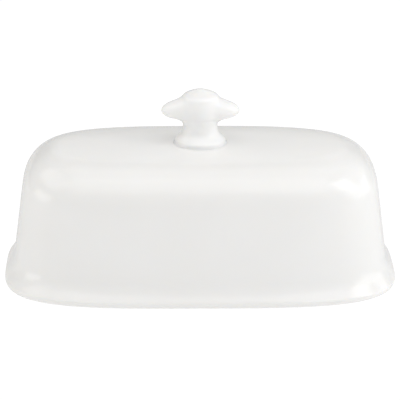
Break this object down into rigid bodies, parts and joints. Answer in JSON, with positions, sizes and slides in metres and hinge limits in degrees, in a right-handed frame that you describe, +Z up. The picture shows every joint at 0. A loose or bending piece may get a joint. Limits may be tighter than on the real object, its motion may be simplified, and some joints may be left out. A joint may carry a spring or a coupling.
{
  "type": "butter dish",
  "caption": "Lidded butter dish in white glazed porcelain: an oblong flared cover with a winged knob lifts off a shallow tray hidden under its lip.",
  "frame": {"origin": "on the table, under the middle of the cover, in the plane of the tray's foot ring", "axes": "+X along the long side, +Y across it towards the back, +Z up through the knob"},
  "size_m": [0.185, 0.105, 0.0904],
  "materials": {
    "glazed_porcelain": "clear gloss glaze over white porcelain"
  },
  "bodies": {
    "base": {"base_dish": "glazed_porcelain"},
    "cover": {"cover_shell": "glazed_porcelain", "knob": "glazed_porcelain"}
  },
  "joints": [
    {"name": "cover_lift", "type": "slide", "parent": "base", "child": "cover", "axis": [0, 0, 1], "range_m": [0, 0.12]}
  ]
}
